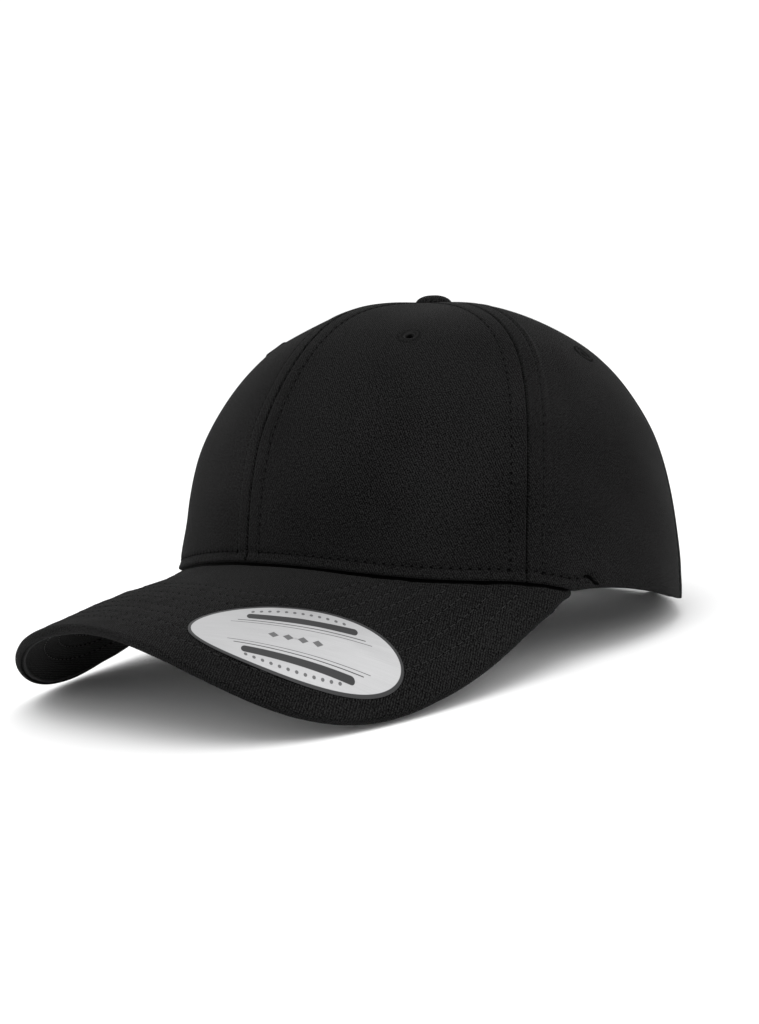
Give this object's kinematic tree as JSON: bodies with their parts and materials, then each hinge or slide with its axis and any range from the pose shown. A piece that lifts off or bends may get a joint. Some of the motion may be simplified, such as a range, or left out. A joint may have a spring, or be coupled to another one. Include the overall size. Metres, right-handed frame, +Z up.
{
  "type": "baseball cap",
  "caption": "Six-panel cotton twill cap with a structured front, curved stitched visor, covered button, sewn eyelets and a snap strap across the rear arch.",
  "frame": {"origin": "centre of the bounding box on the table the cap stands on", "axes": "+Z up, -Y towards the front of the visor, +X towards the wearer's left; the cap stands on the visor's two low edges and the rear rim"},
  "size_m": [0.186, 0.2407, 0.1215],
  "materials": {
    "black_twill": "brushed cotton twill",
    "under_twill": "brushed cotton twill",
    "eyelet_thread": "overlocked thread",
    "thread": "twisted thread",
    "seam_tape": "woven tape",
    "sweatband": "cotton twill, folded and stitched",
    "interlining": "felted interlining",
    "buckram": "stiffened open weave",
    "board": "moulded board",
    "button_metal": "pressed",
    "strap_plastic": "moulded, satin",
    "sticker": "brushed silver foil"
  },
  "bodies": {
    "cap": {"front_panel_left": "black_twill", "front_panel_right": "black_twill", "side_panel_left": "black_twill", "side_panel_right": "black_twill", "back_panel_left": "black_twill", "back_panel_right": "black_twill", "front_stiffener_left": "buckram", "front_stiffener_right": "buckram", "front_eyelets": "eyelet_thread", "side_eyelets": "eyelet_thread", "back_eyelets": "eyelet_thread", "button_cover": "black_twill", "button_core": "button_metal", "button_rivet": "button_metal", "seam_tape_centre_front": "seam_tape", "seam_tape_front_left": "seam_tape", "seam_tape_front_right": "seam_tape", "seam_tape_rear_left": "seam_tape", "seam_tape_rear_right": "seam_tape", "seam_tape_centre_back": "seam_tape", "sweatband_face": "sweatband", "sweatband_interlining": "interlining", "arch_binding": "seam_tape", "visor_top_cover": "black_twill", "visor_board": "board", "visor_under_cover": "under_twill", "crown_topstitching": "thread", "visor_seam_stitching": "thread", "visor_top_stitching": "thread", "visor_under_stitching": "thread", "hole_strap_root": "strap_plastic", "peg_strap_root": "strap_plastic", "visor_sticker": "sticker"},
    "hole_strap": {"hole_strap": "strap_plastic"},
    "peg_strap": {"peg_strap": "strap_plastic"}
  },
  "joints": [
    {"name": "hole_strap_bend", "type": "hinge", "parent": "cap", "child": "hole_strap", "pos_m": [-0.0365, 0.10848, 0.01109], "axis": [0, 0.1701, 0.9854], "range_deg": [0, 60]},
    {"name": "peg_strap_bend", "type": "hinge", "parent": "cap", "child": "peg_strap", "pos_m": [0.0365, 0.10848, 0.01109], "axis": [0, 0.1701, 0.9854], "range_deg": [0, 35]}
  ]
}
